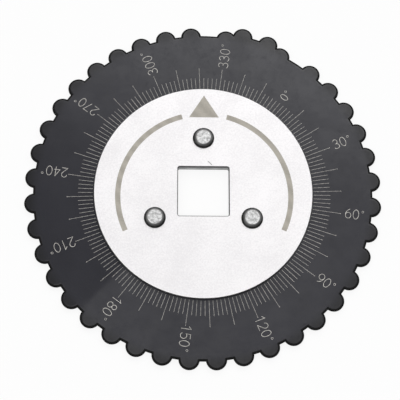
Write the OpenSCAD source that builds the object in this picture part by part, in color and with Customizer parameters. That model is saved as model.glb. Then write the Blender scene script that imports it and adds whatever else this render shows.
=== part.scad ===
// Torque angle gauge: a graduated disc that turns between two riveted plates with a square drive hole.
// Units are millimetres. The origin is on the drive axis at the rear face, +Z points to the front
// and +Y to the pointer. Angles in the Customizer run clockwise, as read from the front.

/* [Square drive] */
// Width of the square drive hole across its flats
drive_w = 19.4; // [12.9:0.1:25.6]
// Corner radius of the square drive hole
drive_corner_r = 0.7; // [0.2:0.1:1.5]
// Width of the chamfer where the square drive hole opens in the front and rear faces
drive_chamfer = 0.3; // [0.1:0.05:0.5]

/* [Pointer plate] */
// Diameter of the front plate that carries the pointer
plate_d = 83.4; // [78:0.2:100]
// Thickness of the front plate
plate_t = 1.5; // [1:0.1:3]
// Chamfer on the outer edge of both plates
plate_chamfer = 0.2; // [0.1:0.05:0.4]

/* [Rear plate] */
// Diameter of the rear plate
rear_d = 83.4; // [78:0.2:100]
// Thickness of the rear plate
rear_t = 0.8; // [0.8:0.1:2]

/* [Hub] */
// Diameter of the hub that the scale disc turns on
hub_d = 60; // [56:1:64]
// Radial running clearance between the hub and the bore of the scale disc
bearing_clearance = 0.05; // [0.02:0.01:0.1]
// Gap between each face of the scale disc and the plate beside it
axial_play = 0.05; // [0.03:0.01:0.15]

/* [Scale disc] */
// Thickness of the scale disc
disc_t = 1.5; // [1.2:0.1:3]
// Diameter of the rim at the valleys between the grip lobes
root_d = 129.6; // [120:0.2:150]
// Number of lobe places round the rim
lobe_count = 40; // [24:2:44]
// Radius of one grip lobe
lobe_r = 3.95; // [3:0.05:4.4]
// How far the lobe centres lie inside the valley circle
lobe_inset = 0.55; // [0:0.05:1.5]

/* [Dial setting] */
// Angle from the pointer to the zero mark of the scale
dial_zero = 38; // [0:1:359]
// Angle from the zero mark to the first lobe after it
lobe_phase = 2.7; // [0:0.1:15]

/* [Thumb lug] */
// Number of lobes that the raised lug carries
lug_lobes = 2; // [2:1:4]
// Lobe places from the first lobe back to the first one on the lug
lug_lead = 3; // [3:1:12]
// How far the lobes on the lug stand out past the others
lug_rise = 1.75; // [0.5:0.05:3]
// Rise of the lug's valleys above the others
lug_pad_rise = 2.05; // [0.5:0.05:2.5]
// Distance from the lug's outer lobes to its end lobes, along the valley circle
lug_reach = 6.3; // [5:0.1:8]
// How far the two end lobes are drawn in from the others
lug_end_drop = 0.6; // [0:0.05:1]

/* [Rivets] */
// Diameter of the circle that the three rivets lie on
rivet_circle_d = 42.5; // [40:0.5:46]
// Shank diameter
shank_d = 5; // [3:0.1:6]
// Diameter of the rivet head at its base
head_d = 8.2; // [7:0.1:9]
// Diameter of the flat on top of the head
head_flat_d = 5.5; // [4:0.1:6.5]
// Height of the head above the front plate
head_h = 1.6; // [1:0.1:2.5]
// Height of the upright band at the foot of the head
head_land = 0.35; // [0.1:0.05:0.6]
// Radius that rounds the edge of the flat on the head
head_round = 0.3; // [0.1:0.05:0.4]
// Diameter of the countersunk tail at the rear face
tail_d = 6.2; // [6:0.1:7]
// Depth of the countersunk tail
tail_h = 0.6; // [0.4:0.05:0.7]
// Radial clearance of the rivets in their holes
rivet_clearance = 0.05; // [0.02:0.01:0.1]

/* [Drag spring] */
// Thickness of the wave washer's strip
spring_t = 0.2; // [0.1:0.05:0.3]
// Radial width of the wave washer
spring_w = 5; // [3:0.5:6]
// Number of waves
spring_waves = 3; // [3:1:6]
// Depth of the recess for it in the rear of the scale disc
spring_recess = 0.6; // [0.45:0.05:0.8]
// Radial room for it beside the hub and the recess wall
spring_room = 0.4; // [0.2:0.1:0.8]
// Gap left at its crests and troughs
spring_face_gap = 0.02; // [0.01:0.01:0.05]

/* [Hidden] */
$fn = 96;

// Overshoot of a cut past the face that it opens
cut = 1;
// Points on each quarter arc of the drive hole's corners and the rivet head's edge
arc_steps = 6;
// Sections round the wave washer
spring_steps = 96;

// Levels of the stack, from the rear face up
hub_t = disc_t + 2 * axial_play;
plate_z = rear_t + hub_t;
front_z = plate_z + plate_t;
disc_z = rear_t + axial_play;

// Rim of the scale disc
root_r = root_d / 2;
bore_r = hub_d / 2 + bearing_clearance;
lobe_pitch = 360 / lobe_count;
lobe_centre_r = root_r - lobe_inset;

// The lug takes the places of its own lobes and, with its end lobes, of one more on either side
lug_mid = lobe_phase + (-lug_lead + (lug_lobes - 1) / 2) * lobe_pitch;
lug_half = (lug_lobes - 1) / 2 * lobe_pitch;
lug_end_half = lug_half + lug_reach / root_r * 180 / PI;
plain_first = lug_lobes + 1 - lug_lead;
plain_count = lobe_count - lug_lobes - 2;

// Angle from the zero mark and centre radius of every lobe: the lug's own, its end lobes, the plain ones
lobe_places = [
    for (i = [0:lug_lobes - 1])
        [lug_mid - lug_half + i * lobe_pitch, lobe_centre_r + lug_rise],
    for (side = [-1, 1])
        [lug_mid + side * lug_end_half, lobe_centre_r - lug_end_drop],
    for (i = [0:plain_count - 1])
        [lobe_phase + (plain_first + i) * lobe_pitch, lobe_centre_r]
];

// Wave washer between the rear plate and the roof of its recess
spring_in_r = hub_d / 2 + spring_room;
spring_out_r = spring_in_r + spring_w;
recess_r = spring_out_r + spring_room;
spring_h = spring_recess + axial_play - 2 * spring_face_gap;
spring_mid_z = rear_t + spring_face_gap + spring_h / 2;
spring_amp = (spring_h - spring_t) / 2;

// Places of the rivets, clockwise from the pointer
rivet_angles = [0, 240, 120];

// Square outline with round corners
function rounded_square(w, r) = [
    for (corner = [0:3], i = [0:arc_steps])
        let (
            a = corner * 90 + i * 90 / arc_steps,
            c = (w / 2 - r) * sqrt(2),
            mid = corner * 90 + 45
        )
        c * [cos(mid), sin(mid)] + r * [cos(a), sin(a)]
];

// Height of the washer's middle surface at an angle
function wave_z(a) = spring_mid_z + spring_amp * sin(spring_waves * a);

// Turns what is drawn beside +Y clockwise, as read from the front
module clockwise(a) {
    rotate([0, 0, -a]) children();
}

// The square drive hole, right through every plate
module drive_hole() {
    translate([0, 0, -cut])
        linear_extrude(front_z + 2 * cut)
            polygon(rounded_square(drive_w, drive_corner_r));
}

// The chamfered mouth of the drive hole in a face at z = 0 that looks along +Z
module drive_mouth() {
    inset = drive_corner_r / 2;
    flare = drive_chamfer + cut;
    low = rounded_square(drive_w - 2 * inset, drive_corner_r - inset);
    high = rounded_square(drive_w + 2 * flare, drive_corner_r + flare);
    n = len(low);
    polyhedron(
        concat(
            [for (p = low) [p[0], p[1], -drive_chamfer - inset]],
            [for (p = high) [p[0], p[1], cut]]
        ),
        concat(
            [[for (i = [0:n - 1]) i], [for (i = [1:n]) 2 * n - i]],
            [for (i = [0:n - 1]) let (j = (i + 1) % n) [i, n + i, n + j, j]]
        )
    );
}

// Straight holes for the three rivet shanks
module shank_holes() {
    for (a = rivet_angles)
        clockwise(a)
            translate([0, rivet_circle_d / 2, -cut])
                cylinder(d = shank_d + 2 * rivet_clearance, h = front_z + 2 * cut);
}

// Raised sector of the rim that the lug's own lobes stand on
module lug_pad() {
    clockwise(lug_mid)
        intersection() {
            circle(r = root_r + lug_pad_rise);
            polygon([
                [0, 0],
                2 * root_r * [-sin(lug_half), cos(lug_half)],
                2 * root_r * [sin(lug_half), cos(lug_half)]
            ]);
        }
}

// Outline of the disc with the lug's pad and the first n lobes, each joined to what is there already
module rim_outline(n) {
    if (n == 0) {
        circle(r = root_r);
        lug_pad();
    } else {
        rim_outline(n - 1);
        clockwise(lobe_places[n - 1][0])
            translate([0, lobe_places[n - 1][1]])
                circle(r = lobe_r);
    }
}

// Bright steel plate in front, which carries the pointer
module front_plate() {
    color("gainsboro")
        difference() {
            rotate_extrude()
                polygon([
                    [0, plate_z],
                    [plate_d / 2, plate_z],
                    [plate_d / 2, front_z - plate_chamfer],
                    [plate_d / 2 - plate_chamfer, front_z],
                    [0, front_z]
                ]);
            drive_hole();
            translate([0, 0, front_z])
                drive_mouth();
            shank_holes();
        }
}

// Spacer between the plates, and bearing of the scale disc
module hub() {
    color("darkgray")
        difference() {
            translate([0, 0, rear_t])
                cylinder(d = hub_d, h = hub_t);
            drive_hole();
            shank_holes();
        }
}

// Plate behind the scale disc, with countersinks for the rivet tails
module rear_plate() {
    color("silver")
        difference() {
            rotate_extrude()
                polygon([
                    [0, 0],
                    [rear_d / 2 - plate_chamfer, 0],
                    [rear_d / 2, plate_chamfer],
                    [rear_d / 2, rear_t],
                    [0, rear_t]
                ]);
            drive_hole();
            mirror([0, 0, 1])
                drive_mouth();
            shank_holes();
            for (a = rivet_angles)
                clockwise(a)
                    translate([0, rivet_circle_d / 2, 0])
                        rotate_extrude()
                            polygon([
                                [0, -cut],
                                [tail_d / 2 + rivet_clearance, -cut],
                                [tail_d / 2 + rivet_clearance, 0],
                                [shank_d / 2 + rivet_clearance, tail_h],
                                [0, tail_h]
                            ]);
        }
}

// Rivet with a coned head in front and a countersunk tail, flush with the rear face
module rivet(a) {
    side_a = atan2(head_h - head_land, (head_d - head_flat_d) / 2);
    round_r = head_flat_d / 2 - head_round * tan(side_a / 2);
    color("lightgray")
        clockwise(a)
            translate([0, rivet_circle_d / 2, 0])
                rotate_extrude()
                    polygon(concat(
                        [
                            [0, 0],
                            [tail_d / 2, 0],
                            [shank_d / 2, tail_h],
                            [shank_d / 2, front_z],
                            [head_d / 2, front_z],
                            [head_d / 2, front_z + head_land]
                        ],
                        [
                            for (i = [0:arc_steps])
                                let (t = side_a * (1 - i / arc_steps))
                                [
                                    round_r + head_round * sin(t),
                                    front_z + head_h - head_round * (1 - cos(t))
                                ]
                        ],
                        [[0, front_z + head_h]]
                    ));
}

module rivet_top() {
    rivet(rivet_angles[0]);
}

module rivet_lower_left() {
    rivet(rivet_angles[1]);
}

module rivet_lower_right() {
    rivet(rivet_angles[2]);
}

// Wave washer that presses the scale disc forward, so that it keeps its setting
module drag_spring() {
    sections = [
        for (i = [0:spring_steps - 1])
            let (a = i * 360 / spring_steps, low = wave_z(a) - spring_t / 2)
            [
                for (corner = [
                    [spring_in_r, low],
                    [spring_out_r, low],
                    [spring_out_r, low + spring_t],
                    [spring_in_r, low + spring_t]
                ])
                    [corner[0] * cos(a), corner[0] * sin(a), corner[1]]
            ]
    ];
    strip = [
        for (i = [0:spring_steps - 1], k = [0:3])
            let (
                here = 4 * i,
                next = 4 * ((i + 1) % spring_steps),
                after = (k + 1) % 4
            )
            each [
                [here + k, next + after, next + k],
                [here + k, here + after, next + after]
            ]
    ];
    color("slategray")
        polyhedron([for (s = sections) each s], strip);
}

// Black graduated disc with its lobed grip rim and thumb lug
module scale_disc() {
    color("dimgray")
        translate([0, 0, disc_z])
            difference() {
                clockwise(dial_zero)
                    linear_extrude(disc_t)
                        rim_outline(len(lobe_places));
                translate([0, 0, -cut])
                    cylinder(r = bore_r, h = disc_t + 2 * cut);
                translate([0, 0, -cut])
                    cylinder(r = recess_r, h = spring_recess + cut);
            }
}

front_plate();
hub();
rear_plate();
rivet_top();
rivet_lower_left();
rivet_lower_right();
drag_spring();
scale_disc();
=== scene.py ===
"""Looks of a torque angle gauge: finishes of its plates, rivets and scale disc, and their marks."""

import math

import bmesh
import bpy
from mathutils import Matrix, Vector


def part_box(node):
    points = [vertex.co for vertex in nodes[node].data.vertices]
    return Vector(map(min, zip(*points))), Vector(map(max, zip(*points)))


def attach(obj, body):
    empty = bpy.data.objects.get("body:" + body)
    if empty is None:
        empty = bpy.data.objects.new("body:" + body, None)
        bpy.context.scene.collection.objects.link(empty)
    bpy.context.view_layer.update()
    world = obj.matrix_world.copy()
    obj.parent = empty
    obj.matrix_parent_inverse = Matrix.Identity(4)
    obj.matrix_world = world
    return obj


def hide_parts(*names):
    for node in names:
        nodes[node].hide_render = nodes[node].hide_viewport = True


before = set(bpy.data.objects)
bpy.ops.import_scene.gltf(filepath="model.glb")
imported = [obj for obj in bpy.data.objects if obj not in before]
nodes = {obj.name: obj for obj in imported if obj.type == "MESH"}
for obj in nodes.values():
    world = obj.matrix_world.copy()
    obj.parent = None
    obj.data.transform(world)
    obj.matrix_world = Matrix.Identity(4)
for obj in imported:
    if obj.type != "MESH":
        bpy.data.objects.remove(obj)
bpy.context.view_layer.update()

MM = 0.001
DISC_BOTTOM, DISC_TOP = (corner.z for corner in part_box("scale_disc"))
PLATE_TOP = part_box("front_plate")[1].z

# Angle from the pointer to the zero mark, clockwise
DIAL_ZERO = 38.0
# The scale is marked a little off the disc's centre, and stretched along one direction
SCALE_CENTRE = (0.4 * MM, -0.65 * MM)
SCALE_STRETCH = 0.01
SCALE_STRETCH_ANGLE = 103.0
# The zero is smaller than the other figures
ZERO_SIZE = 0.85
# How far each number is marked from its even place, outward and counterclockwise
NUMBER_SHIFTS = {
    0: (1.0 * MM, 0.2 * MM),
    30: (-0.3 * MM, 0.5 * MM),
    60: (-0.3 * MM, 0.5 * MM),
    90: (-0.9 * MM, 0.7 * MM),
    120: (-0.3 * MM, 0.5 * MM),
    150: (-0.2 * MM, 0.5 * MM),
    180: (-0.1 * MM, 0.3 * MM),
    210: (0.3 * MM, -0.2 * MM),
    240: (0.5 * MM, -0.4 * MM),
    270: (0.7 * MM, -0.2 * MM),
    300: (0.9 * MM, -0.4 * MM),
    330: (0.9 * MM, -0.1 * MM),
}
# The lines on the pointer plate are off its centre too
PLATE_MARKS_CENTRE = (0.35 * MM, -1.8 * MM)
# How far a mark reaches into its face, and stands above it
MARK_ROOT = 0.02 * MM
MARK_HEIGHT = 0.012 * MM
# Strokes of one figure that cross are this much higher than each other
STROKE_LIFT = 0.002 * MM
# A stroke's rounded end, for a half width of 1: how far out each step lies, and half its width
ROUND_END = ((0.5, 0.866), (0.866, 0.5), (0.99, 0.14))
# Corners closer than this are one corner, and edges sharper than this angle stay crisp
SEAM = 0.002 * MM
CRISP_ANGLE = math.radians(30)
# A nick in the pointer plate, by the square hole
PLATE_NICK = ((1.8 * MM, 11.9 * MM, PLATE_TOP), (3.1 * MM, 10.6 * MM, PLATE_TOP))


class Value:
    """A shader socket that Python's operators join with Math nodes."""

    def __init__(self, finish, socket):
        self.finish = finish
        self.socket = socket

    def math(self, operation, first, second):
        return self.finish.node("ShaderNodeMath", {"operation": operation}, {0: first, 1: second})

    def __add__(self, other):
        return self.math("ADD", self, other)

    def __sub__(self, other):
        return self.math("SUBTRACT", self, other)

    def __rsub__(self, other):
        return self.math("SUBTRACT", other, self)

    def __mul__(self, other):
        return self.math("MULTIPLY", self, other)

    __radd__ = __add__
    __rmul__ = __mul__


class Finish:
    """A material, or the world, while its nodes are put together."""

    def __init__(self, owner):
        owner.use_nodes = True
        self.owner = owner
        self.tree = owner.node_tree
        self.tree.nodes.clear()

    def node(self, kind, settings=None, sockets=None, out=0):
        """Adds one node, sets its settings and then its sockets, and returns one of its outputs."""
        made = self.tree.nodes.new(kind)
        for name, setting in (settings or {}).items():
            setattr(made, name, setting)
        for name, value in (sockets or {}).items():
            if isinstance(value, Value):
                self.tree.links.new(value.socket, made.inputs[name])
            else:
                made.inputs[name].default_value = value
        return Value(self, made.outputs[out]) if len(made.outputs) else made

    def vector(self, operation, sockets, out="Vector"):
        return self.node("ShaderNodeVectorMath", {"operation": operation}, sockets, out)

    def place(self):
        return self.node("ShaderNodeTexCoord", out="Object")

    def scaled(self, vector, factors):
        return self.vector("MULTIPLY", {0: vector, 1: factors})

    def noise(self, vector, scale, detail, roughness):
        return self.node(
            "ShaderNodeTexNoise", None,
            {"Vector": vector, "Scale": scale, "Detail": detail, "Roughness": roughness},
        )

    def ease(self, value, low, high):
        """0 below low, 1 above high, and a soft step between."""
        return self.node(
            "ShaderNodeMapRange", {"interpolation_type": "SMOOTHSTEP"},
            {"Value": value, "From Min": low, "From Max": high},
        )

    def blend(self, factor, first, second):
        """A colour between two, by the Mix node's colour sockets."""
        return self.node("ShaderNodeMix", {"data_type": "RGBA"}, {0: factor, 6: first, 7: second}, out=2)

    def bump(self, height, depth, strength):
        return self.node(
            "ShaderNodeBump", None, {"Height": height, "Distance": depth, "Strength": strength}
        )

    def upward(self):
        """How far the surface faces along the drive axis, from -1 to 1."""
        normal = self.node("ShaderNodeNewGeometry", out="Normal")
        return self.node("ShaderNodeSeparateXYZ", None, {0: normal}, out="Z")

    def flat_faces(self, low=0.93, high=0.985):
        """1 on the front and rear faces, 0 on walls and broken edges."""
        facing = self.upward()
        return self.ease(facing * facing, low, high)

    def flat_place(self):
        return self.scaled(self.place(), (1.0, 1.0, 0.0))

    def radius(self):
        """Distance from the drive axis."""
        return self.vector("LENGTH", {0: self.flat_place()}, out="Value")

    def turned(self, along, across):
        """Noise in rings about the drive axis, as a lathe leaves it."""
        outward = self.vector("NORMALIZE", {0: self.flat_place()})
        ring = self.node("ShaderNodeCombineXYZ", None, {"Z": self.radius() * across})
        spread = self.vector("ADD", {0: self.scaled(outward, (along, along, along)), 1: ring})
        return self.noise(spread, scale=1.0, detail=3.0, roughness=0.6)

    def height(self):
        return self.node("ShaderNodeSeparateXYZ", None, {0: self.place()}, out="Z")

    def stroke(self, start, end, width):
        """1 along the middle of a short straight stroke, 0 away from it."""
        along = Vector(end) - Vector(start)
        reach = along.length
        along.normalize()
        offset = self.vector("SUBTRACT", {0: self.place(), 1: start})
        travel = self.vector("DOT_PRODUCT", {0: offset, 1: along}, out="Value")
        travel = self.node("ShaderNodeClamp", None, {"Value": travel, "Min": 0.0, "Max": reach})
        foot = self.vector("SCALE", {0: along, "Scale": travel})
        away = self.vector("DISTANCE", {0: offset, 1: foot}, out="Value")
        return 1 - self.ease(away, 0.0, width)

    def shader(self, sockets):
        return self.node("ShaderNodeBsdfPrincipled", None, sockets)

    def mixed(self, factor, first, second):
        return self.node("ShaderNodeMixShader", None, {0: factor, 1: first, 2: second})

    def surface(self, shader):
        self.node("ShaderNodeOutputMaterial", None, {"Surface": shader})
        return self.owner


def new_finish(name):
    return Finish(bpy.data.materials.new(name))


def grey(level):
    return (level, level, level, 1.0)


def matt_plate_steel():
    """Fine blasted steel, nearly white, with a few hair scratches; its walls and broken edges carry
    painted shade, far darker than the face.
    """
    dull, bright = (0.845, 0.828, 0.84, 1.0), (0.96, 0.944, 0.952, 1.0)
    scratched, nicked = grey(0.64), grey(0.35)
    # Painted shade: wall and broken-edge colours, far darker than the steel face
    shaded_wall_dark, shaded_wall_light = grey(0.08), grey(0.16)
    f = new_finish("matt_plate_steel")
    at = f.place()
    grain = f.noise(at, scale=1500.0, detail=3.0, roughness=0.7)
    cloud = f.noise(at, scale=70.0, detail=3.0, roughness=0.55)
    hairs = f.noise(f.scaled(at, (90.0, 2600.0, 90.0)), scale=1.0, detail=2.0, roughness=0.5)
    scratch = f.ease(hairs, low=0.70, high=0.78)
    nick = f.stroke(*PLATE_NICK, width=0.32 * MM)
    tone = f.ease(cloud * 0.35 + grain * 0.65, low=0.36, high=0.64)
    steel = f.blend(scratch * 0.35, f.blend(tone, dull, bright), scratched)
    face = f.shader({
        "Base Color": f.blend(nick, steel, nicked),
        "Metallic": 0.55,
        "Roughness": 0.40 + grain * 0.10 - scratch * 0.1,
        "Normal": f.bump(
            grain * 0.8 + cloud * 0.4 - scratch * 0.5 - nick, depth=0.02 * MM, strength=0.5
        ),
    })
    shear = f.noise(f.scaled(at, (1500.0, 1500.0, 160.0)), scale=1.0, detail=3.0, roughness=0.6)
    # Walls and broken edges: painted shade in a dark colour, mottled by the shear noise
    wall = f.shader({
        "Base Color": f.blend(f.ease(shear, low=0.3, high=0.7), shaded_wall_dark, shaded_wall_light),
        "Metallic": 0.9,
        "Roughness": 0.42 + shear * 0.2,
        "Normal": f.bump(shear, depth=0.04 * MM, strength=0.6),
    })
    return f.surface(f.mixed(f.flat_faces(), wall, face))


def satin_black():
    """Satin black coat over fine turning rings, with painted shade darkening the lobes towards their
    tips; edge and walls are matt.
    """
    deep, soft = (0.0125, 0.0125, 0.019, 1.0), (0.020, 0.020, 0.028, 1.0)
    # Near-black colour for the painted shade on the lobe tips
    shaded_tips = grey(0.002)
    dark_edge, light_edge = grey(0.010), grey(0.022)
    valleys, tips = 62.0 * MM, 67.0 * MM
    f = new_finish("satin_black")
    at = f.place()
    rings = f.turned(along=2.2, across=9000.0)
    cloud = f.noise(at, scale=45.0, detail=3.0, roughness=0.55)
    pores = f.noise(at, scale=3200.0, detail=2.0, roughness=0.7)
    smudge = f.ease(f.noise(at, scale=130.0, detail=5.0, roughness=0.72), low=0.36, high=0.64)
    specks = f.ease(f.noise(at, scale=420.0, detail=4.0, roughness=0.65), low=0.52, high=0.68)
    # Painted shade: colour and coat fall off from the valleys to the lobe tips, so the lobes darken
    # outwards
    tip_shade = f.ease(f.radius(), low=valleys, high=tips)
    tone = f.ease(cloud * 0.55 + pores * 0.25 + rings * 0.2, low=0.34, high=0.66)
    black = f.blend(tone, deep, soft)
    face = f.shader({
        "Base Color": f.blend(tip_shade * 0.7, black, shaded_tips),
        "Roughness": 0.26 + rings * 0.07 + pores * 0.07,
        "Specular IOR Level": 0.25,
        "Normal": f.bump(rings * 0.7 + pores * 0.5, depth=0.012 * MM, strength=0.5),
        "Coat Weight": 0.75 + smudge * 0.28 - tip_shade * 0.12 - specks * 0.2,
        "Coat Roughness": 0.03,
    })
    edge = f.shader({
        "Base Color": f.blend(pores, dark_edge, light_edge),
        "Roughness": 0.65 + pores * 0.2,
        "Specular IOR Level": 0.0,
        "Normal": f.bump(pores, depth=0.02 * MM, strength=0.5),
    })
    return f.surface(f.mixed(f.flat_faces(low=0.985, high=0.999), edge, face))


def rivet_steel():
    """Set rivets: a bright, hammered flat, and flanks with a painted contact shadow, dark at the plate
    and lighter above.
    """
    dented, bright = grey(0.33), grey(0.77)
    # Painted shadow: the flank colour runs from near black at the plate up to grey
    foot_shadow_colour, unshaded_shoulder = grey(0.03), grey(0.45)
    foot, shoulder = PLATE_TOP + 0.8 * MM, PLATE_TOP + 2.1 * MM
    f = new_finish("rivet_steel")
    at = f.place()
    dents = f.noise(at, scale=900.0, detail=3.0, roughness=0.6)
    grain = f.noise(at, scale=4200.0, detail=2.0, roughness=0.6)
    mottle = f.ease(dents * 0.7 + grain * 0.3, low=0.36, high=0.62)
    flat = f.shader({
        "Base Color": f.blend(mottle, dented, bright),
        "Metallic": 0.95,
        "Roughness": 0.34 + grain * 0.16,
        "Normal": f.bump(dents, depth=0.10 * MM, strength=0.6),
    })
    flank_grain = f.noise(f.scaled(at, (700.0, 700.0, 2400.0)), scale=1.0, detail=3.0, roughness=0.6)
    # Painted contact shadow on the flanks, fading out between foot and shoulder, its edge broken by the
    # grain noise
    out_of_shadow = f.ease(f.height() + flank_grain * 0.6 * MM, low=foot, high=shoulder)
    flank = f.shader({
        "Base Color": f.blend(out_of_shadow, foot_shadow_colour, unshaded_shoulder),
        "Metallic": 0.95,
        "Roughness": 0.34 + flank_grain * 0.18,
        "Normal": f.bump(flank_grain, depth=0.04 * MM, strength=0.5),
    })
    return f.surface(f.mixed(f.flat_faces(low=0.75, high=0.96), flank, flat))


def turned_steel():
    """Plain turned steel of the hub between the plates."""
    dark, light = grey(0.26), grey(0.40)
    f = new_finish("turned_steel")
    rings = f.turned(along=3.0, across=5000.0)
    stain = f.noise(f.place(), scale=240.0, detail=3.0, roughness=0.6)
    return f.surface(f.shader({
        "Base Color": f.blend(f.ease(stain, low=0.35, high=0.7), dark, light),
        "Metallic": 0.95,
        "Roughness": 0.36 + rings * 0.2,
        "Normal": f.bump(rings, depth=0.03 * MM, strength=0.6),
    }))


def tempered_strip():
    """Blue-grey tempered strip of the wave washer."""
    blue, straw = (0.17, 0.19, 0.24, 1.0), (0.30, 0.29, 0.27, 1.0)
    f = new_finish("tempered_strip")
    at = f.place()
    temper = f.noise(at, scale=160.0, detail=2.0, roughness=0.5)
    rolled = f.turned(along=6.0, across=7000.0)
    return f.surface(f.shader({
        "Base Color": f.blend(temper, blue, straw),
        "Metallic": 0.95,
        "Roughness": 0.3 + rolled * 0.2,
        "Normal": f.bump(rolled, depth=0.01 * MM, strength=0.5),
    }))


def laser_mark(name, dark, light, hatch_pitch):
    """A mark burnt by a laser: dull, slightly uneven, with the faint hatch of its passes."""
    f = new_finish(name)
    at = f.place()
    burn = f.noise(at, scale=1300.0, detail=3.0, roughness=0.6)
    passes = f.node(
        "ShaderNodeTexWave", {"bands_direction": "DIAGONAL"},
        {
            "Vector": at,
            "Scale": 0.05 / hatch_pitch,
            "Distortion": 1.5,
            "Detail": 1.0,
            "Detail Scale": 400.0,
        },
        out=1,
    )
    return f.surface(f.shader({
        "Base Color": f.blend(f.ease(burn * 0.7 + passes * 0.3, low=0.25, high=0.75), dark, light),
        "Metallic": 0.1,
        "Roughness": 0.62 + burn * 0.15,
        "Normal": f.bump(passes * 0.6 + burn * 0.4, depth=0.01 * MM, strength=0.5),
    }))


def dress(names, material):
    for name in names:
        slots = nodes[name].data.materials
        slots.clear()
        slots.append(material)


def close_seams(names):
    """Joins corners that lie on each other, which leaves no sliver faces, and keeps the edges crisp."""
    for name in names:
        weld = nodes[name].modifiers.new("weld", "WELD")
        weld.merge_threshold = SEAM
        crisp = nodes[name].modifiers.new("crisp_edges", "EDGE_SPLIT")
        crisp.split_angle = CRISP_ANGLE


def heading(angle):
    """The direction at a clockwise angle from the pointer."""
    return Vector((math.sin(math.radians(angle)), math.cos(math.radians(angle))))


def on_scale(spot):
    """Where a spot of the scale's drawing comes to lie on the disc."""
    along = heading(SCALE_STRETCH_ANGLE)
    across = along.orthogonal()
    longer = along * spot.dot(along) * (1 + SCALE_STRETCH)
    shorter = across * spot.dot(across) * (1 - SCALE_STRETCH)
    return longer + shorter + Vector(SCALE_CENTRE)


def inner_end(out, radius):
    """How far along a direction of the scale's drawing a spot comes to lie at a radius of the disc."""
    step = on_scale(out) - on_scale(out * 0)
    return (radius - step.normalized().dot(Vector(SCALE_CENTRE))) / step.length


def rim_outline():
    """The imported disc's lobed outline, in order round the axis."""
    inside, close = 50 * MM, 0.01 * MM
    corners = [v.co.xy for v in nodes["scale_disc"].data.vertices]
    corners = sorted((p for p in corners if p.length > inside), key=lambda p: math.atan2(p.y, p.x))
    return [p for p, before in zip(corners, corners[-1:] + corners) if (p - before).length > close]


def drawn_in(outline, depth):
    """An outline moved inwards by the same depth all round."""
    moved = []
    for before, p, after in zip(outline[-1:] + outline, outline, outline[1:] + outline[:1]):
        sides = [(p - before).normalized().orthogonal(), (after - p).normalized().orthogonal()]
        moved.append(p + (sides[0] + sides[1]) * depth / (1 + sides[0].dot(sides[1])))
    return moved


def graduated_disc(material):
    """The scale disc as it is packed, with the edges of its rim rounded."""
    bore, recess, recess_depth = 30.05 * MM, 35.8 * MM, 0.6 * MM
    edge_width, edge_depth, fullness = 1.5 * MM, 0.55 * MM, 5
    across_edge = (0.0, 0.25, 0.45, 0.6, 0.72, 0.82, 0.91, 1.0)
    sharp_angle, level = math.radians(40), 0.999
    outline = rim_outline()

    def rim(depth, z):
        return [(p.x, p.y, z) for p in drawn_in(outline, depth)]

    def ring(radius, z):
        return [(*(p.normalized() * radius), z) for p in outline]

    edge = [(edge_width * (1 - t), edge_depth * t ** fullness) for t in across_edge]
    upper = [rim(depth, DISC_TOP - drop) for depth, drop in edge]
    lower = [rim(depth, DISC_BOTTOM + drop) for depth, drop in reversed(edge)]
    roof = DISC_BOTTOM + recess_depth
    inner = [ring(recess, DISC_BOTTOM), ring(recess, roof), ring(bore, roof), ring(bore, DISC_TOP)]
    shape = bmesh.new()
    loops = [[shape.verts.new(p) for p in loop] for loop in upper + lower + inner]
    for loop, after in zip(loops, loops[1:] + loops[:1]):
        for i in range(len(loop)):
            shape.faces.new((loop[i - 1], loop[i], after[i], after[i - 1]))
    bmesh.ops.recalc_face_normals(shape, faces=shape.faces)
    data = bpy.data.meshes.new("graduated_disc")
    shape.to_mesh(data)
    shape.free()
    data.set_sharp_from_angle(angle=sharp_angle)
    for face in data.polygons:
        face.use_smooth = abs(face.normal.z) < level
    data.materials.append(material)
    made = bpy.data.objects.new("graduated_disc", data)
    bpy.context.scene.collection.objects.link(made)
    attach(made, "scale")
    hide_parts("scale_disc")


def stations(path, width, closed, rounded):
    """The path's points, each with its sideways direction and half its width there."""
    least_cosine = 0.5
    points = [Vector(p) for p in path]
    count = len(points)
    out = []
    for i, p in enumerate(points):
        before = points[i - 1] if closed or i else p
        after = points[(i + 1) % count] if closed or i < count - 1 else p
        back, ahead = (p - before), (after - p)
        back = back.normalized() if back.length else ahead.normalized()
        ahead = ahead.normalized() if ahead.length else back
        along = (back + ahead).normalized()
        stretch = 1 / max(along.dot(ahead), least_cosine)
        out.append((p, Vector((-along.y, along.x)) * stretch, width / 2))
    if rounded and not closed:
        first, last = out[0], out[-1]
        start, end = (points[0] - points[1]).normalized(), (points[-1] - points[-2]).normalized()
        head = [(first[0] + start * width / 2 * d, first[1], width / 2 * w) for d, w in ROUND_END]
        tail = [(last[0] + end * width / 2 * d, last[1], width / 2 * w) for d, w in ROUND_END]
        out = head[::-1] + out + tail
    return out


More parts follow.
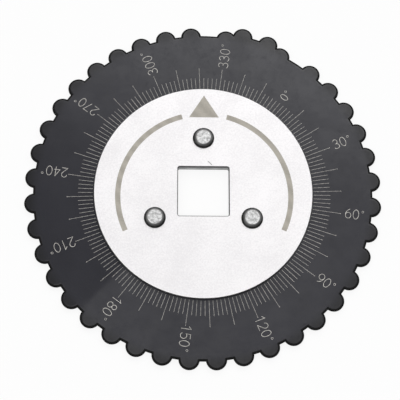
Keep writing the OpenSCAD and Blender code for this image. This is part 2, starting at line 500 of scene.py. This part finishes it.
class Marks:
    """Thin closed solids on a flat face, gathered in one mesh."""

    def __init__(self, face_z):
        self.mesh = bmesh.new()
        self.low = face_z - MARK_ROOT
        self.high = face_z + MARK_HEIGHT

    def ribbon(self, path, width, closed=False, rounded=True, lift=0.0):
        """A stroke of even width along a path."""
        high, low = self.high + lift, self.low
        rows = []
        for p, side, half in stations(path, width, closed, rounded):
            left, right = p + side * half, p - side * half
            section = ((left, high), (right, high), (right, low), (left, low))
            rows.append([self.mesh.verts.new((q.x, q.y, z)) for q, z in section])
        pairs = list(zip(rows, rows[1:])) + ([(rows[-1], rows[0])] if closed else [])
        for a, b in pairs:
            for k in range(4):
                self.mesh.faces.new((a[k], a[(k + 1) % 4], b[(k + 1) % 4], b[k]))
        if not closed:
            self.mesh.faces.new(rows[0])
            self.mesh.faces.new(rows[-1][::-1])

    def plate(self, outline):
        """A flat mark with a straight-sided outline."""
        top = [self.mesh.verts.new((x, y, self.high)) for x, y in outline]
        low = [self.mesh.verts.new((x, y, self.low)) for x, y in outline]
        self.mesh.faces.new(top)
        self.mesh.faces.new(low[::-1])
        for i in range(len(top)):
            j = (i + 1) % len(top)
            self.mesh.faces.new((top[j], top[i], low[i], low[j]))

    def piece(self, name, material, body):
        """Makes the gathered marks a piece that moves with a body."""
        bmesh.ops.recalc_face_normals(self.mesh, faces=self.mesh.faces)
        data = bpy.data.meshes.new(name)
        self.mesh.to_mesh(data)
        self.mesh.free()
        data.materials.append(material)
        made = bpy.data.objects.new(name, data)
        bpy.context.scene.collection.objects.link(made)
        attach(made, body)


def arc(x, y, rx, ry, start, end, steps=14):
    turns = [math.radians(start + (end - start) * i / steps) for i in range(steps + 1)]
    return [(x + rx * math.cos(t), y + ry * math.sin(t)) for t in turns]


def oval(x, y, rx, ry):
    return arc(x, y, rx, ry, start=90, end=450, steps=28)[:-1]


# A figure is drawn this wide, and 1 high
FIGURE_WIDTH = 0.6


def half_turned(strokes):
    """A figure turned upside down."""
    return [([(FIGURE_WIDTH - x, 1 - y) for x, y in path], closed) for path, closed in strokes]


# Strokes of the figures, each with whether it closes on itself
SIX = [
    (oval(0.3, 0.31, 0.3, 0.31), True),
    (arc(0.62, 0.36, 0.62, 0.64, 176, 108), False),
]
FIGURES = {
    "0": [(oval(0.3, 0.5, 0.3, 0.5), True)],
    "1": [([(0.1, 0.76), (0.36, 1.0), (0.36, 0.0)], False)],
    "2": [(arc(0.3, 0.71, 0.28, 0.29, 172, -38) + [(0.0, 0.0), (0.6, 0.0)], False)],
    "3": [
        (arc(0.29, 0.76, 0.25, 0.24, 155, -80), False),
        (arc(0.29, 0.26, 0.31, 0.26, 100, -152), False),
    ],
    "4": [([(0.44, 1.0), (0.0, 0.28), (0.6, 0.28)], False), ([(0.44, 1.0), (0.44, 0.0)], False)],
    "5": [([(0.55, 1.0), (0.1, 1.0), (0.06, 0.54)] + arc(0.28, 0.32, 0.32, 0.32, 132, -148), False)],
    "6": SIX,
    "7": [([(0.0, 1.0), (0.6, 1.0), (0.18, 0.0)], False)],
    "8": [(oval(0.3, 0.76, 0.25, 0.24), True), (oval(0.3, 0.26, 0.3, 0.26), True)],
    "9": half_turned(SIX),
}


def scale_ticks(material):
    """A tick every 2 degrees; the tens, but for the zero, are longer and end in a laser's dot."""
    inner, short_end, tens_end = 42.15 * MM, 47.7 * MM, 51.8 * MM
    stroke, dot_radius = 0.10 * MM, 0.15 * MM
    marks = Marks(DISC_TOP)
    for degree in range(0, 360, 2):
        end = tens_end if degree % 10 == 0 and degree > 0 else short_end
        out = heading(DIAL_ZERO + degree)
        start = inner_end(out, inner)
        marks.ribbon([on_scale(out * r) for r in (start, end)], stroke)
        if end == tens_end:
            dot = [on_scale(out * end + Vector(p)) for p in oval(0, 0, dot_radius, dot_radius)]
            marks.plate(dot)
    marks.piece("scale_ticks", material, "scale")


def scale_figures(material):
    """The degrees every 30, read outward along the radius, with a small ring after each."""
    stroke = 0.19 * MM
    # A figure's height, width and pitch, and where a number of one, two or three figures starts
    lengths = (3.7, 3.5, 2.9)
    first_figure = {1: 48.9, 2: 54.0, 3: 52.0}
    ring_gap, ring_drop, ring_radius, ring_stroke = 0.65 * MM, 0.55 * MM, 0.38 * MM, 0.115 * MM
    marks = Marks(DISC_TOP)
    for degree in range(0, 360, 30):
        text = str(degree)
        out = heading(DIAL_ZERO + degree)
        up = out.orthogonal()
        outward, aside = NUMBER_SHIFTS[degree]
        start = first_figure[len(text)] * MM + outward
        size = ZERO_SIZE if degree == 0 else 1.0
        high, wide, pitch = (size * length * MM for length in lengths)

        def spot(x, y):
            return on_scale(out * (start + x) + up * (y - high / 2 + aside))

        for i, figure in enumerate(text):
            for k, (path, closed) in enumerate(FIGURES[figure]):
                placed = [spot(i * pitch + x * wide, y * high) for x, y in path]
                marks.ribbon(placed, stroke, closed, lift=k * STROKE_LIFT)
        x, y = len(text) * pitch + ring_gap, high - ring_drop
        ring = [spot(x + ring_radius * c, y + ring_radius * s) for c, s in oval(0, 0, 1, 1)]
        marks.ribbon(ring, ring_stroke, True)
    marks.piece("scale_figures", material, "scale")


def pointer_mark(material):
    """The triangle that the scale is read against."""
    marks = Marks(PLATE_TOP)
    middle, tip, base, half = 0.2 * MM, 38.8 * MM, 29.8 * MM, 5.77 * MM
    marks.plate([(middle, tip), (middle - half, base), (middle + half, base)])
    marks.piece("pointer_mark", material, "plates")


def plate_arc(name, side, last, material):
    """One of the two broad lines round the plate, from beside the pointer to its last angle."""
    marks = Marks(PLATE_TOP)
    first, steps, radius, width = 15.2, 72, 32.9 * MM, 2.0 * MM
    turns = [side * (first + (last - first) * i / steps) for i in range(steps + 1)]
    path = [Vector(PLATE_MARKS_CENTRE) + heading(a) * radius for a in turns]
    marks.ribbon(path, width, rounded=False)
    marks.piece(name, material, "plates")


def floor():
    """A wide pale floor that keeps the shadow and shows as white."""
    radius, sides, level = 12.0, 96, -0.05 * MM
    lit_tone, white_share = 0.97, 0.88
    f = new_finish("pale_floor")
    kinds = ("Camera", "Glossy", "Transmission")
    paths = [f.node("ShaderNodeLightPath", out=f"Is {kind} Ray") for kind in kinds]
    seen = paths[0] + paths[1] + paths[2]
    lit = f.node("ShaderNodeBsdfDiffuse", None, {"Color": grey(lit_tone)})
    white = f.node("ShaderNodeEmission", None, {"Color": grey(1.0), "Strength": 1.0})
    material = f.surface(f.mixed(seen * white_share, lit, white))
    shape = bmesh.new()
    bmesh.ops.create_circle(shape, cap_ends=True, segments=sides, radius=radius)
    data = bpy.data.meshes.new("studio_floor")
    shape.to_mesh(data)
    shape.free()
    data.materials.append(material)
    made = bpy.data.objects.new("studio_floor", data)
    made.location.z = level
    bpy.context.scene.collection.objects.link(made)


def studio_world():
    """A light tent: dim low down, lit behind the pointer and at the left, a seam across its roof."""
    up, back_panel, left_panel = (0.0, 0.0, 1.0), (0.342, 0.94, 0.0), (-0.42, -0.3, 0.856)
    seam, seam_run = Vector((0.03, 0.283, 0.959)).normalized(), Vector((1.0, 1.0, 0.0))
    dim, back_light, left_light, right_light = 0.16, 2.72, 1.55, 0.73
    world = bpy.data.worlds.new("light_tent")
    bpy.context.scene.world = world
    f = Finish(world)
    direction = f.node("ShaderNodeTexCoord", out="Generated")

    def towards(axis):
        return f.vector("DOT_PRODUCT", {0: direction, 1: axis}, out="Value")

    height = towards(up)
    back = f.ease(towards(back_panel), low=0.216, high=0.526)
    back = back * (0.1 + f.ease(height, low=0.3, high=0.75) * 0.9)
    left = f.ease(towards(left_panel), low=0.77, high=0.97)
    along = (seam_run - seam * seam_run.dot(seam)).normalized()
    right = f.ease(towards(along.cross(seam)), low=-0.0055, high=-0.0035)
    right = right * (1 - f.ease(towards(along), low=0.0, high=0.1))
    right = right * f.ease(height, low=0.55, high=0.9)
    f.node("ShaderNodeOutputWorld", None, {
        "Surface": f.node("ShaderNodeBackground", None, {
            "Strength": dim + back * back_light + left * left_light + right * right_light
        })
    })


def photo_camera():
    """The photograph's view: steeply down, from the side away from the pointer."""
    # reach, aside and below are in pixels of the photograph; pixel is the size of one at the gauge
    photo_width, reach, pixel = 400, 1262.04, 0.382 * MM
    tilt, swing = math.radians(-16.455), math.radians(1.657)
    aside, below, aim_height = -3.33, -7.22, 1.6 * MM
    sensor, nearest = 36.0, 0.01
    distance, focal = reach * pixel, reach / photo_width
    turn = Matrix.Rotation(tilt, 3, "X") @ Matrix.Rotation(swing, 3, "Y")
    data = bpy.data.cameras.new("photo_camera")
    data.sensor_width = sensor
    data.lens = sensor * focal
    data.clip_start = nearest
    made = bpy.data.objects.new("photo_camera", data)
    place = turn.transposed() @ Vector((aside * pixel, below * pixel, distance))
    shift = Matrix.Translation(place + Vector((0, 0, aim_height)))
    made.matrix_world = shift @ turn.transposed().to_4x4()
    bpy.context.scene.collection.objects.link(made)
    bpy.context.scene.camera = made


dress(["front_plate", "rear_plate"], matt_plate_steel())
graduated_disc(satin_black())
dress(["rivet_top", "rivet_lower_left", "rivet_lower_right"], rivet_steel())
dress(["hub"], turned_steel())
close_seams(["front_plate", "rear_plate"])
dress(["drag_spring"], tempered_strip())

pale_mark = laser_mark(
    "pale_engraving",
    dark=(0.45, 0.435, 0.405, 1.0),
    light=(0.75, 0.72, 0.675, 1.0),
    hatch_pitch=0.2 * MM,
)
tan_mark = laser_mark(
    "tan_engraving",
    dark=(0.40, 0.372, 0.325, 1.0),
    light=(0.50, 0.468, 0.412, 1.0),
    hatch_pitch=0.5 * MM,
)
scale_ticks(pale_mark)
scale_figures(pale_mark)
pointer_mark(tan_mark)
plate_arc("plate_arc_right", side=1, last=114.2, material=tan_mark)
plate_arc("plate_arc_left", side=-1, last=115.0, material=tan_mark)

floor()
studio_world()
photo_camera()
bpy.context.scene.view_settings.view_transform = "Standard"
